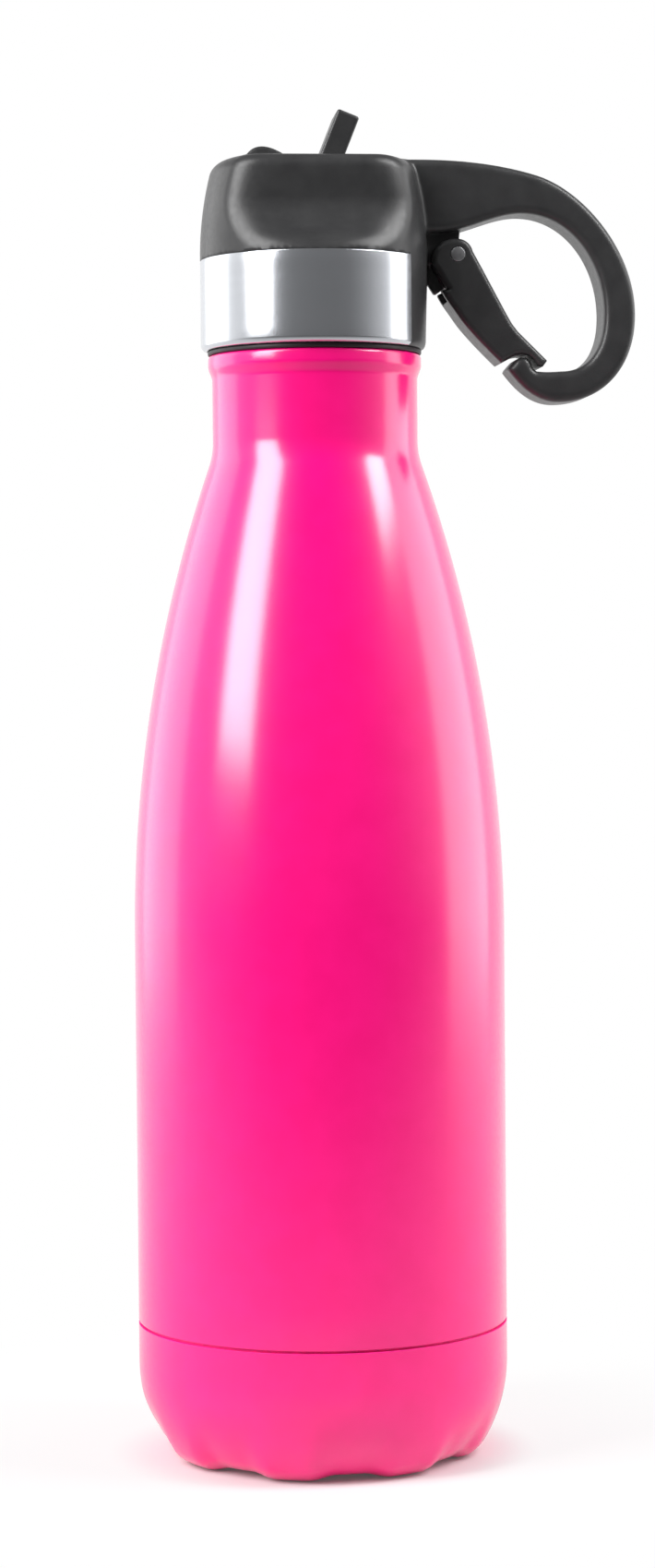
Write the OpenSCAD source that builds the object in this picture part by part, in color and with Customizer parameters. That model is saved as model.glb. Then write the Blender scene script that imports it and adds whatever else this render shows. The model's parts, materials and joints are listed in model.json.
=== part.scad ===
// Vacuum-insulated steel bottle with a threaded flip-spout lid and a carabiner handle.
// Millimetres. The bottle's axis is Z, the floor is z = 0, and the handle reaches out along +X.

/* [Bottle] */
// Outside radius of the straight body
body_r = 35.5; // [33:0.5:38]
// Outside radius of the straight neck
neck_r = 19.6; // [19:0.1:21]
// Height of the rim above the floor
rim_z = 210.4; // [195:0.1:240]
// Straight neck between the shoulder and the rim
neck_len = 16.4; // [14:0.1:22]
// Radius of the long convex shoulder
shoulder_r = 272; // [240:1:320]
// Radius of the hollow blend from shoulder to neck
neck_blend_r = 14; // [8:0.5:20]
// Wall of the outer shell
shell_t = 0.6; // [0.5:0.1:0.9]
// How far the collar bead stands out of the neck
collar_out = 0.75; // [0.5:0.05:1]
// Height of the collar bead
collar_h = 3.6; // [3:0.1:5]

/* [Base cup] */
// Height of the seam between shell and base cup
seam_z = 25.7; // [22:0.1:32]
// Width of the seam groove
seam_w = 0.5; // [0.3:0.1:0.8]
// Wall of the base cup
cup_t = 0.8; // [0.6:0.1:1.1]
// Radius of the cup's rounded side
cup_arc_r = 30; // [26:1:36]
// Height at which the cup's side starts to round in
cup_arc_z = 18; // [16:0.5:20]
// Radius of the foot's edge
foot_r = 6; // [3:0.5:7]
// Number of lobes around the foot
lobes = 8; // [6:1:10]
// Turn of the lobes around the axis
lobe_turn = 28; // [0:1:44]
// Radius of each valley between two lobes
valley_r = 12; // [10:0.5:14]
// Depth of the valleys at the foot's edge
valley_d = 2.2; // [1.2:0.1:2.6]
// Inside radius of the flat foot ring
foot_ring_r = 16; // [15.5:0.1:17]
// Radius of the cover plate under the base
plate_r = 14.1; // [12:0.1:14.5]
// Thickness of the cover plate
plate_t = 0.6; // [0.4:0.1:1]

/* [Inner flask] */
// Vacuum gap around the body
vacuum_gap = 3.4; // [2.5:0.1:4]
// Vacuum gap around the neck
neck_gap = 1.8; // [1.4:0.1:2.2]
// Wall of the inner flask
flask_t = 0.5; // [0.4:0.1:0.7]
// Height of the flask's underside
flask_z = 9; // [8:0.5:14]
// Radius of the flask's bottom corner
flask_corner_r = 16; // [14:0.5:20]
// Thickness of the copper wrap
wrap_t = 0.15; // [0.1:0.05:0.3]

/* [Thread] */
// Rise of the lid for one turn
lead = 4; // [3.5:0.5:5]
// Height of a thread ridge
ridge_h = 1.1; // [0.9:0.1:1.2]
// Width of a thread ridge at its root
ridge_w = 1.5; // [1.2:0.1:1.6]
// Gap between ridge tips and the opposite wall
thread_gap = 0.4; // [0.3:0.05:0.5]

/* [Lid] */
// Thickness of the gasket under the lid
gasket_t = 0.9; // [0.6:0.1:1.5]
// Height of the lid above the gasket
lid_h = 35.9; // [34:0.1:42]
// Outside radius of the lid
lid_r = 21.7; // [21.5:0.1:23]
// Height of the steel band
band_h = 17.1; // [13:0.1:18]
// Thickness of the steel band
band_t = 0.5; // [0.3:0.1:0.8]
// Radius of the band's lower edge
band_edge_r = 1.5; // [1.2:0.1:2]
// Half angle of the plain tab that interrupts the band
tab_half = 37.5; // [30:0.5:45]
// How far the tab tapers in towards its lower edge
tab_taper = 0.3; // [0:0.05:0.4]
// Radius of the dome's side in profile
dome_r = 64; // [50:1:90]
// Radius of the dome's top edge
top_edge_r = 2.5; // [2:0.1:4]
// Radius of the top edge along the flats
flat_edge_r = 2.8; // [2:0.1:4]
// Wall of the cap
cap_t = 1.8; // [1.6:0.1:2]
// Distance of the flat front and back from the axis
flat_y = 14; // [13.5:0.1:15.5]
// Height above the gasket at which the flats start
flat_z = 25.3; // [23:0.1:27]
// Radius of the cove under each flat
cove_r = 4; // [3:0.5:5]
// Angle through which the cove turns outwards
cove_angle = 65; // [55:1:70]

/* [Spout] */
// Width of the spout across the lid
spout_w = 12; // [10:0.5:13]
// Thickness of the spout
spout_t = 4.4; // [4:0.1:4.6]
// Length of the spout from its pivot
spout_len = 12; // [10.5:0.1:12.5]
// Distance of the spout's pivot from the lid's axis
spout_x = 1.95; // [1:0.05:2.5]
// Depth of the pivot below the top
spout_depth = 2.6; // [2.55:0.05:3]
// Radius of the spout's drum
drum_r = 2.5; // [2.3:0.05:2.5]
// Lean of the raised spout
spout_lean = 22; // [15:1:25]
// Width of the drinking slot
slot_w = 6.4; // [5:0.1:6.5]
// Thickness of the drinking slot
slot_t = 1.8; // [1.4:0.1:2]
// Radius of the spout's pivot pins
spout_pin_r = 0.9; // [0.7:0.05:1]
// Gap around the moving spout
spout_gap = 0.3; // [0.25:0.05:0.4]

/* [Straw] */
// Outside radius of the straw
straw_r = 3.3; // [3:0.1:3.5]
// Wall of the straw
straw_t = 0.5; // [0.4:0.1:0.8]
// Gap between the straw's end and the flask's bottom
straw_clear = 4.5; // [3:0.5:15]
// Height of the thread plug under the rim
plug_h = 11.5; // [11:0.1:14]

/* [Handle] */
// Thickness of the handle
handle_t = 11; // [10:0.5:12]
// Reach of the handle from the lid's axis
handle_x = 61.3; // [60:0.1:66]
// Width of the loop's ring
loop_w = 6.1; // [5.5:0.1:6.5]
// Lowest point of the loop below the lid
loop_drop = 10.15; // [9:0.05:11]
// Distance of the gate's pivot from the lid's axis
pivot_x = 27.1; // [27:0.1:27.5]
// Height of the gate's pivot above the gasket
pivot_z = 17.9; // [17.5:0.1:18]
// Radius of the gate's pin
pin_r = 1.4; // [1:0.05:1.5]
// Running gap around a pivot pin
pin_gap = 0.05; // [0.02:0.01:0.09]
// Half width of the bracket between the gate's cheeks
bracket_half = 3; // [2.5:0.1:3.2]
// Gap around the gate
gate_gap = 0.3; // [0.25:0.05:0.4]
// Radius of the spring's wire
wire_r = 0.3; // [0.2:0.05:0.3]

/* [Hidden] */
$fn = 96;
eps = 0.01;
far = 100;

// Bottle heights and radii
collar_r = neck_r + collar_out;
collar_z = rim_z - collar_h;
collar_edge = 0.7;
shoulder_rise = rise(body_r, neck_r, shoulder_r, neck_blend_r);
shoulder_z = rim_z - neck_len - shoulder_rise;
flask_r = body_r - shell_t - vacuum_gap;
flask_neck_r = neck_r - shell_t - neck_gap;
flask_shoulder_r = shoulder_r - shell_t - vacuum_gap;
flask_blend_r = neck_blend_r + shell_t + neck_gap;
mouth_r = flask_neck_r - flask_t;
flange_r = collar_r - 1.1;

// Base cup
lip_t = 0.7;
lip_up = 3;
lip_down = 2.2;
ring_bevel = 1;
recess_z = 2;
pocket_r = plate_r - 1.6;
pocket_z = 2.8;
port_r = 0.9;
bead_r = 2.2;
bead_t = 0.7;
side_tilt = 60;
under_tilt = 8;
under_start = 18;
getter_r = 4;
getter_t = 1.2;
getter_x = 8.5;

// Thread and plug
lid_z = rim_z + gasket_t;
plug_r = mouth_r - 2 * thread_gap - ridge_h + 0.4;
plug_t = 1.7;
plug_z = rim_z - plug_h;
female_z = rim_z - 9;
female_turns = 1.25;
male_z = female_z - 0.6 * ridge_w - 0.5;
male_turns = 1.5;
ridge_tip_w = 0.6 * ridge_w;
ridge_root = 0.3;
ridge_step = 12;

// Lid
lid_top = lid_z + lid_h;
band_top = lid_z + band_h;
skirt_r = lid_r - band_t;
dome_z = band_top + 0.6;
step_z = lid_z + 2.2;
step_r = skirt_r - cap_t - 0.75;
tab_edge_r = 1.3;
flange_gap = 0.05;
chimney_t = 1.3;
seat_r = 3.6;
seat_h = 6.2;

// Spout well
spout_z = lid_top - spout_depth;
well_half = spout_w / 2 + spout_gap;
well_floor = spout_z - max(drum_r, spout_t / 2) - spout_gap;
well_wall = 2.4;
well_left = spout_x - spout_len - 2 * spout_gap;
well_right = spout_x + spout_depth * tan(spout_lean) + spout_t / 2 / cos(spout_lean) + spout_gap;
pin_in = slot_w / 2 + 0.6;
pin_out = well_half + 1.7;
straw_x = spout_x - 0.3;
straw_z = flask_z + flask_t + straw_clear;
straw_in = 12;
seat_z = well_floor - seat_h + 2;
seat_top = well_floor + 0.5;
hump_x = -9.6;
hump_l = 7.4;
hump_h = 1.65;
hump_w = 3;

// Handle and gate
handle_y = handle_t / 2;
root_z = lid_z + pivot_z + 4.2;
pivot = [pivot_x, lid_z + pivot_z];
reach_r = 8.6;
pocket_cut_r = reach_r + gate_gap;
web_half = 1;
head_r = 3;
nose_in = 15.8;
nose_up = 7.9;
lap = 1.3;
gate_fit = [(handle_x - nose_in - lap - pivot_x) / 17.1, (pivot_z + loop_drop - nose_up) / 20.15];
coil_r = pin_r + wire_r + 0.15;
slot_half = 1.5;
leg_turn = -67;
leg_l = 9.6;
stay_l = 2.6;
coil_end = leg_turn + 90 - 3 * 360;
coil_y = slot_half - wire_r - 0.1;

// ---- Curves ----

// Points along an arc, from angle a0 to a1
function arc(cx, cy, r, a0, a1, n = 8) =
    [for (i = [0:n]) [cx + r * cos(a0 + (a1 - a0) * i / n), cy + r * sin(a0 + (a1 - a0) * i / n)]];

// Points along a cubic curve
function curve(p0, p1, p2, p3, n = 10) =
    [for (i = [1:n]) let (t = i / n, u = 1 - t)
        u * u * u * p0 + 3 * u * u * t * p1 + 3 * u * t * t * p2 + t * t * t * p3];

function backwards(p) = [for (i = [len(p) - 1:-1:0]) p[i]];

// Height that a shoulder takes from body radius rb to neck radius rn
function rise(rb, rn, ra, rf) = sqrt(pow(ra + rf, 2) - pow(rn + rf - rb + ra, 2));

// A convex arc from the body, blended into the neck by a hollow one
function shoulder(rb, rn, z0, ra, rf) =
    let (dz = rise(rb, rn, ra, rf), turn = asin(dz / (ra + rf)))
    concat(arc(rb - ra, z0, ra, 0, turn, 14), arc(rn + rf, z0 + dz, rf, 180 + turn, 180, 5));

// The cup's outside, or the surface a distance in from it, from the foot up
function cup_side(in) =
    let (fx = sqrt(pow(cup_arc_r - foot_r, 2) - pow(cup_arc_z - foot_r, 2)),
        cx = body_r - cup_arc_r,
        turn = atan2(cup_arc_z - foot_r, fx),
        edge = max(foot_r - in, 0.2))
    concat(arc(cx + fx, foot_r, edge, -90, -turn, 4), arc(cx, cup_arc_z, cup_arc_r - in, -turn, 0, 8));

// The dome's outside, or the surface a distance in from it, from the band up
function dome_side(in) =
    let (edge = top_edge_r, dz = lid_top - edge - dome_z,
        dx = sqrt(pow(dome_r - edge, 2) - dz * dz), cx = lid_r - dome_r)
    concat(arc(cx, dome_z, dome_r - in, 0, atan2(dz, dx), 8),
        arc(cx + dx, lid_top - edge, edge - in, atan2(dz, dx), 90, 6));

// ---- Shared solids ----

// Extrudes an outline drawn in X and Z to a thickness along Y
module slab(t) {
    rotate([90, 0, 0])
        linear_extrude(height = t, center = true) children();
}

module rod(r, y0, y1) {
    translate([0, y1, 0])
        rotate([90, 0, 0]) cylinder(r = r, h = y1 - y0);
}

// One ring of points for every step of a sweep, joined and closed at both ends
module sweep(rings) {
    n = len(rings);
    k = len(rings[0]);
    sides = [for (i = [0:n - 2]) for (j = [0:k - 1])
        [i * k + j, i * k + (j + 1) % k, (i + 1) * k + (j + 1) % k, (i + 1) * k + j]];
    ends = [[for (j = [k - 1:-1:0]) j], [for (j = [0:k - 1]) (n - 1) * k + j]];
    polyhedron(points = [for (r = rings) each r], faces = concat(sides, ends), convexity = 6);
}

// A helical ridge from root radius to tip radius, which fades in and out over its ends
module thread(root, tip, z0, turns, start) {
    steps = ceil(turns * 360 / ridge_step);
    out = tip > root ? 1 : -1;
    rings = [for (i = [0:steps]) let (
            a = start + turns * 360 * i / steps,
            z = z0 + lead * turns * i / steps,
            fade = min(1, 0.25 + 0.75 * min(i, steps - i) / 3),
            rt = root + (tip - root) * fade,
            rr = root - out * ridge_root,
            ring = [[rr, z - ridge_w / 2], [rt, z - ridge_tip_w / 2], [rt, z + ridge_tip_w / 2],
                [rr, z + ridge_w / 2]])
        [for (p = out > 0 ? ring : backwards(ring)) [p[0] * cos(a), p[0] * sin(a), p[1]]]];
    sweep(rings);
}

// A round wire along points, each with the two directions that its section lies in
module wire(points, r, k = 8) {
    n = len(points);
    rings = [for (i = [0:n - 1]) let (
            d = points[min(i + 1, n - 1)] - points[max(i - 1, 0)],
            t = d / norm(d),
            s = cross(t, abs(t[1]) > 0.9 ? [1, 0, 0] : [0, 1, 0]),
            u = s / norm(s),
            v = cross(t, u))
        [for (j = [0:k - 1]) points[i] + r * (cos(360 * j / k) * u + sin(360 * j / k) * v)]];
    sweep(rings);
}

// ---- Bottle ----

module outer_shell() {
    color("deeppink")
        rotate_extrude()
            polygon(concat(
                [[body_r, seam_z + seam_w / 2]],
                shoulder(body_r, neck_r, shoulder_z, shoulder_r, neck_blend_r),
                arc(collar_r - collar_edge, collar_z + collar_edge, collar_edge, -90, 0, 4),
                arc(collar_r - collar_edge, rim_z - collar_edge, collar_edge, 0, 90, 4),
                [[flange_r, rim_z], [flange_r, rim_z - flask_t], [neck_r - shell_t, rim_z - flask_t]],
                backwards(shoulder(body_r - shell_t, neck_r - shell_t, shoulder_z, shoulder_r - shell_t,
                    neck_blend_r + shell_t)),
                [[body_r - shell_t, seam_z + seam_w / 2]]));
}

// The valleys between the lobes, made larger by grow for the cup's inside
module valleys(grow) {
    edge_x = body_r - 6.6;
    for (i = [0:lobes - 1])
        rotate(360 * (i + 0.5) / lobes) {
            translate([edge_x + (valley_r - valley_d) * sin(side_tilt), 0,
                -(valley_r - valley_d) * cos(side_tilt)])
                rotate([0, 90 - side_tilt, 0])
                    cylinder(r = valley_r + grow, h = far, center = true);
            translate([under_start, 0, 0])
                rotate([0, 90 - under_tilt, 0])
                    translate([valley_r, 0, 0])
                        cylinder(r = valley_r + grow, h = far, center = true);
        }
}

module cup_body(in) {
    difference() {
        rotate_extrude()
            polygon(concat([[0, in]], cup_side(in),
                [[body_r - in, seam_z - seam_w / 2], [0, seam_z - seam_w / 2]]));
        valleys(in);
    }
}

module base_cup() {
    inner_r = body_r - shell_t - lip_t;
    color("deeppink")
        rotate(lobe_turn) difference() {
            union() {
                difference() {
                    cup_body(0);
                    difference() {
                        cup_body(cup_t);
                        cylinder(r = foot_ring_r + ring_bevel + cup_t, h = pocket_z + cup_t);
                    }
                    translate([0, 0, seam_z - seam_w])
                        cylinder(r = body_r - cup_t, h = seam_w);
                }
                rotate_extrude()
                    polygon([[inner_r, seam_z - lip_down], [body_r - cup_t / 2, seam_z - lip_down],
                        [body_r - cup_t / 2, seam_z - seam_w / 2], [body_r - shell_t, seam_z - seam_w / 2],
                        [body_r - shell_t, seam_z + lip_up], [inner_r, seam_z + lip_up]]);
            }
            rotate_extrude()
                polygon([[0, -1], [foot_ring_r, -1], [foot_ring_r, 0],
                    [foot_ring_r - ring_bevel, recess_z / 2], [plate_r + 0.1, recess_z / 2],
                    [plate_r + 0.1, recess_z], [pocket_r, recess_z], [pocket_r, pocket_z], [0, pocket_z]]);
            cylinder(r = port_r, h = far, center = true);
        }
}

module base_plate() {
    color("silver")
        translate([0, 0, recess_z - plate_t])
            cylinder(r = plate_r, h = plate_t);
}

module vacuum_bead() {
    color("dimgray")
        union() {
            translate([0, 0, pocket_z - bead_t])
                cylinder(r = bead_r, h = bead_t);
            translate([0, 0, pocket_z - bead_t])
                cylinder(r = port_r, h = bead_t + cup_t);
        }
}

module getter() {
    color("gray")
        translate([getter_x, 0, pocket_z + cup_t])
            cylinder(r = getter_r, h = getter_t);
}

// The flask's outside, or its inside
function flask_side(in) =
    concat(
        arc(flask_r - flask_corner_r, flask_z + flask_corner_r, flask_corner_r - in, -90, 0, 10),
        shoulder(flask_r - in, flask_neck_r - in, shoulder_z, flask_shoulder_r - in, flask_blend_r + in));

module inner_flask() {
    color("lightgray")
        union() {
            rotate_extrude()
                polygon(concat(
                    [[0, flask_z]],
                    flask_side(0),
                    [[flask_neck_r, rim_z - flask_t], [flange_r, rim_z - flask_t], [flange_r, rim_z],
                        [mouth_r, rim_z]],
                    backwards(flask_side(flask_t)),
                    [[0, flask_z + flask_t]]));
            thread(mouth_r, mouth_r - ridge_h, female_z, female_turns, 0);
        }
}

module copper_wrap() {
    height = shoulder_z - flask_z - flask_corner_r;
    color("peru")
        translate([0, 0, flask_z + flask_corner_r])
            difference() {
                cylinder(r = flask_r + wrap_t, h = height);
                translate([0, 0, -1])
                    cylinder(r = flask_r, h = height + 2);
            }
}

// ---- Lid ----

module lid_gasket() {
    color("#202020")
        translate([0, 0, rim_z])
            difference() {
                cylinder(r = collar_r + 0.05, h = gasket_t);
                translate([0, 0, -1])
                    cylinder(r = mouth_r, h = gasket_t + 2);
            }
}

// What the flats and their coves cut from the dome, moved in by a wall for the cap's inside
module flats(in) {
    y0 = flat_y - in;
    z0 = lid_z + flat_z - in * tan(cove_angle / 2);
    edge = flat_edge_r - in;
    end_y = y0 + cove_r - cove_r * cos(cove_angle);
    end_z = z0 - cove_r * sin(cove_angle);
    for (side = [-1, 1])
        rotate([90, 0, 90])
            linear_extrude(height = far, center = true)
                polygon([for (p = concat(
                    [[y0 - edge, lid_top + far]],
                    arc(y0 - edge, lid_top - in - edge, edge, 90, 0, 5),
                    arc(y0 + cove_r, z0, cove_r, 180, 180 + cove_angle, 5),
                    [[end_y + far * sin(cove_angle), end_z - far * cos(cove_angle)],
                        [end_y + far * sin(cove_angle), lid_top + far]])) [side * p[0], p[1]]]);
}

module dome(in) {
    difference() {
        rotate_extrude()
            polygon(concat(
                [[0, band_top - 1], [skirt_r - in, band_top - 1], [skirt_r - in, band_top]],
                dome_side(in),
                [[0, lid_top - in]]));
        flats(in);
    }
}

// The skirt under the band stops short of the band's rolled edge
module skirt() {
    edge = band_edge_r - band_t;
    inner_r = skirt_r - cap_t;
    rotate_extrude()
        polygon(concat(
            [[inner_r, lid_z], [lid_r - band_edge_r, lid_z]],
            arc(lid_r - band_edge_r, lid_z + band_edge_r, edge, -90, 0, 5),
            [[skirt_r, band_top], [inner_r, band_top]]));
    rotate(-tab_half)
        rotate_extrude(angle = 2 * tab_half)
            polygon(concat(
                [[skirt_r - 1, lid_z]],
                arc(lid_r - tab_taper - tab_edge_r, lid_z + tab_edge_r, tab_edge_r, -90, 0, 5),
                [[lid_r, band_top - 2], [lid_r, band_top], [skirt_r - 1, band_top]]));
    rotate_extrude()
        polygon([[step_r, step_z], [skirt_r - 1, step_z], [skirt_r - 1, band_top], [step_r, band_top]]);
}

function handle_outline() =
    let (
        mid = lid_z + 6.5,
        low = lid_z - loop_drop,
        inner = handle_x - loop_w,
        bend = [42.6, lid_top - 3],
        low_x = handle_x - 15,
        tip_x = handle_x - nose_in,
        floor_z = low + loop_w - 0.2,
        high = lid_top - 10.2)
    concat(
        [[10, root_z], [10, lid_top], [20, lid_top]],
        curve([20, lid_top], [28, lid_top], [35.9, lid_top - 0.9], bend, 8),
        curve(bend, bend + [8.6, -2.7], [handle_x, mid + 12.5], [handle_x, mid], 12),
        curve([handle_x, mid], [handle_x, mid - 9.8], [low_x + 8.9, low], [low_x, low], 12),
        curve([low_x, low], [low_x - 3.8, low], [low_x - 6.9, low + 2.4], [low_x - 9.7, low + 6.3], 6),
        nose(tip_x, low),
        curve([tip_x - 3.3, floor_z], [tip_x - 1.5, floor_z - 0.2], [tip_x, floor_z - 0.1],
            [tip_x + 1.5, floor_z], 3),
        curve([tip_x + 1.5, floor_z], [tip_x + 7, floor_z], [inner, mid - 6.3], [inner, mid + 0.2], 10),
        curve([inner, mid + 0.2], [inner, mid + 10.7], [48.5, high], [39.5, high], 12),
        curve([39.5, high], [34.5, high], [30, root_z + 0.6], [24, root_z], 8));

// The hook's end: a sloped face, a round head and the notch that the gate's tip drops into
function nose(x, z) = [[x - 7.3, z + 8.1], [x - 6.4, z + 8.55], [x - 5.3, z + 8.55], [x - 4.5, z + 7.8],
    [x - 4, z + 6.5], [x - 3.3, z + loop_w - 0.2]];

// The fixed tongue that carries the gate's pin, and the thin web that ties it to the cap's side
module bracket() {
    slab(2 * bracket_half)
        union() {
            translate(pivot) circle(r = head_r);
            polygon(concat(
                [[19.5, pivot[1] - 1.7], [19.5, root_z + 1], [pivot[0] + 0.8, root_z + 1]],
                [for (p = [[0.5, 2.9], [0.5, -2.9], [-1, -6.6], [-2.2, -6.3], [-3.6, -3.9], [-4.9, -1.7]])
                    pivot + p * head_r / 3]));
        }
    slab(2 * web_half)
        polygon([for (p = [[-7, -1.5], [-4.8, -1.5], [-2.2, -6.1], [-4, -7.4], [-5.3, -5.3], [-7, -4.6]])
            pivot + p * head_r / 3]);
}

// The room inside the bracket for the spring's coil and its two legs
module spring_slot() {
    slab(2 * slot_half)
        translate(pivot)
            union() {
                circle(r = coil_r + wire_r + 0.3);
                polygon([[0, 0], 4 * [cos(leg_turn - 5), sin(leg_turn - 5)], [4, -3.6], [4, 0.8], [0, 1.6]]);
                translate([-coil_r - wire_r - 0.2, -stay_l - 0.3])
                    square([2 * wire_r + 0.4, stay_l + 0.3]);
            }
}

module cap_shell() {
    color("#2b2b2b")
        difference() {
            union() {
                difference() {
                    union() {
                        dome(0);
                        slab(handle_t) polygon(handle_outline());
                    }
                    difference() {
                        dome(cap_t);
                        well_block();
                    }
                    translate([0, 0, band_top - 1 - eps])
                        cylinder(r = step_r, h = 1 + 2 * eps);
                }
                skirt();
                bracket();
                humps();
            }
            well();
            translate([straw_x, 0, well_floor - 6])
                cylinder(r = seat_r, h = 7);
            translate([spout_x, 0, spout_z]) rod(spout_pin_r + pin_gap, -pin_out - 0.1, pin_out + 0.1);
            translate([pivot[0], 0, pivot[1]]) rod(pin_r + pin_gap, -bracket_half - 1, bracket_half + 1);
            spring_slot();
        }
}

// The solid that holds the spout's well and its pivots
module well_block() {
    translate([-18, -well_half - well_wall, well_floor - cap_t])
        cube([18 + well_right + well_wall, 2 * (well_half + well_wall), lid_top]);
}

module well() {
    translate([well_left, -well_half, well_floor])
        cube([spout_x - well_left, 2 * well_half, far]);
    translate([spout_x - eps, -well_half, spout_z])
        cube([well_right - spout_x + eps, 2 * well_half, far]);
    translate([spout_x, 0, spout_z])
        rod(drum_r + spout_gap, -well_half, well_half);
    translate([well_left - 1.2, 0, lid_top + 1.6])
        rod(4.6, -well_half, well_half);
}

// Low guards on both sides of the folded spout's tip
module humps() {
    for (side = [-1, 1])
        translate([hump_x, side * (well_half + hump_w / 2), lid_top])
            slab(hump_w)
                polygon(concat([[-hump_l / 2, -1]],
                    curve([-hump_l / 2, 0], [-hump_l / 2 + 0.4, hump_h], [-hump_l / 2 + 2, hump_h * 1.5],
                        [hump_l / 2, 0], 8),
                    [[hump_l / 2, -1]]));
}

module steel_band() {
    inner = band_edge_r - band_t;
    color("gainsboro")
        rotate(tab_half)
            rotate_extrude(angle = 360 - 2 * tab_half)
                polygon(concat(
                    [[lid_r, band_top]],
                    arc(lid_r - band_edge_r, lid_z + band_edge_r, band_edge_r, 0, -90, 5),
                    arc(lid_r - band_edge_r, lid_z + band_edge_r, inner, -90, 0, 5),
                    [[skirt_r, band_top]]));
}

module stopper() {
    chimney_r = seat_r + chimney_t;
    chimney_top = well_floor - cap_t - 1;
    color("#3a3a3a")
        union() {
            difference() {
                union() {
                    translate([0, 0, lid_z])
                        cylinder(r = skirt_r - cap_t - flange_gap, h = step_z - lid_z);
                    translate([0, 0, plug_z])
                        cylinder(r = plug_r, h = lid_z - plug_z + eps);
                }
                translate([0, 0, plug_z + plug_t])
                    cylinder(r = plug_r - plug_t, h = far);
                translate([straw_x, 0, plug_z - 1])
                    cylinder(r = straw_r, h = plug_t + 2);
                translate([vent_x, 0, plug_z - 1])
                    cylinder(r = vent_r, h = plug_t + 2);
            }
            difference() {
                translate([straw_x, 0, plug_z])
                    cylinder(r = chimney_r, h = chimney_top - plug_z);
                translate([straw_x, 0, plug_z - 1])
                    cylinder(r = straw_r, h = far);
                translate([straw_x, 0, seat_z])
                    cylinder(r = seat_r, h = far);
            }
            thread(plug_r, plug_r + ridge_h, male_z, male_turns, 0);
        }
}

// Vent with a silicone duckbill in the plug's floor
vent_x = -9;
vent_r = 1.5;

module vent_valve() {
    color("whitesmoke")
        difference() {
            union() {
                translate([vent_x, 0, plug_z + plug_t])
                    cylinder(r = 2.8, h = 0.8);
                translate([vent_x, 0, plug_z - 0.6])
                    cylinder(r = vent_r, h = plug_t + 0.6 + eps);
                translate([vent_x, 0, plug_z - 1.4])
                    cylinder(r = 2.2, h = 1.4);
                translate([vent_x - 0.7, -1.6, plug_z - 4])
                    cube([1.4, 3.2, 3.4]);
            }
            translate([vent_x - 0.2, -1.1, plug_z - 3.2])
                cube([0.4, 2.2, far]);
        }
}

module straw() {
    top = plug_z + straw_in;
    color("white", 0.8)
        difference() {
            translate([straw_x, 0, straw_z])
                cylinder(r = straw_r, h = top - straw_z);
            translate([straw_x, 0, straw_z - 1])
                cylinder(r = straw_r - straw_t, h = far * 4);
            translate([straw_x - straw_r, 0, straw_z])
                rotate([0, 40, 0])
                    translate([-far, -far, -far])
                        cube([2 * far, 2 * far, far]);
        }
}

module spout_seat() {
    color("gray")
        difference() {
            translate([straw_x, 0, seat_z])
                cylinder(r = seat_r, h = seat_top - seat_z);
            translate([spout_x, 0, spout_z])
                rod(drum_r + 0.12, -far, far);
            translate([straw_x, 0, seat_z - 1])
                cylinder(r = 1, h = far);
        }
}

// The spout as it stands raised: a drum on the pivot and a flat mouthpiece
module spout() {
    color("#2b2b2b")
        translate([spout_x, 0, spout_z])
            rotate([0, spout_lean, 0])
                difference() {
                    union() {
                        rod(drum_r, -spout_w / 2, spout_w / 2);
                        translate([-spout_t / 2, -spout_w / 2, 0])
                            cube([spout_t, spout_w, spout_len]);
                    }
                    translate([0, 0, -drum_r - 1])
                        linear_extrude(height = spout_len + drum_r + 2)
                            union() {
                                square([slot_t, slot_w - slot_t], center = true);
                                for (side = [-1, 1])
                                    translate([0, side * (slot_w - slot_t) / 2]) circle(d = slot_t);
                            }
                    for (side = [-1, 1])
                        scale([1, side, 1]) rod(spout_pin_r, pin_in, spout_w);
                }
}

module spout_pins() {
    color("silver")
        for (side = [-1, 1])
            translate([spout_x, 0, spout_z])
                rod(spout_pin_r, side > 0 ? pin_in : -pin_out, side > 0 ? pin_out : -pin_in);
}

// ---- Gate ----

// The gate's side view from the pivot: head, straight inside, the tip that laps the hook, swollen outside
function gate_outline() =
    concat(
        arc(0, 0, head_r, 95, 12, 5),
        [for (p = [[4.7, -2.6], [7.05, -7], [9.4, -11.4], [11.5, -14.6], [17.1, -20.15], [16.25, -21.3],
            [15.2, -21.2], [14.6, -20.2], [13.6, -19.2], [12.2, -18.9], [11, -19.1], [8.2, -20.6],
            [6.2, -18.7], [4.15, -16.45], [2.05, -14.2], [0.3, -12], [-1.05, -10.3], [-2.25, -8.3],
            [-3, -6.9], [-2, -6.5], [-2.7, -5.4], [-3.7, -3.6], [-4.9, -1.9], [-4.95, -0.4], [-4.3, 1.2],
            [-3, 2.4], [-1.5, 2.9]])
            [p[0] * gate_fit[0], p[1] * gate_fit[1]]]);

// A thin hole in the gate's arm for the end of the spring's leg
module leg_hole() {
    translate([coil_r * cos(coil_end), coil_y, coil_r * sin(coil_end)])
        rotate([0, 90 - leg_turn, 0])
            cylinder(r = wire_r + 0.1, h = leg_l + 0.3);
}

module gate() {
    color("#2b2b2b")
        translate([pivot[0], 0, pivot[1]])
            difference() {
                slab(handle_t) polygon(gate_outline());
                rod(pocket_cut_r, -bracket_half - gate_gap, bracket_half + gate_gap);
                rod(pin_r, -far, far);
                leg_hole();
            }
}

module gate_pin() {
    color("gray")
        translate([pivot[0], 0, pivot[1]])
            rod(pin_r, -handle_y - 0.1, handle_y + 0.1);
}

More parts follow.
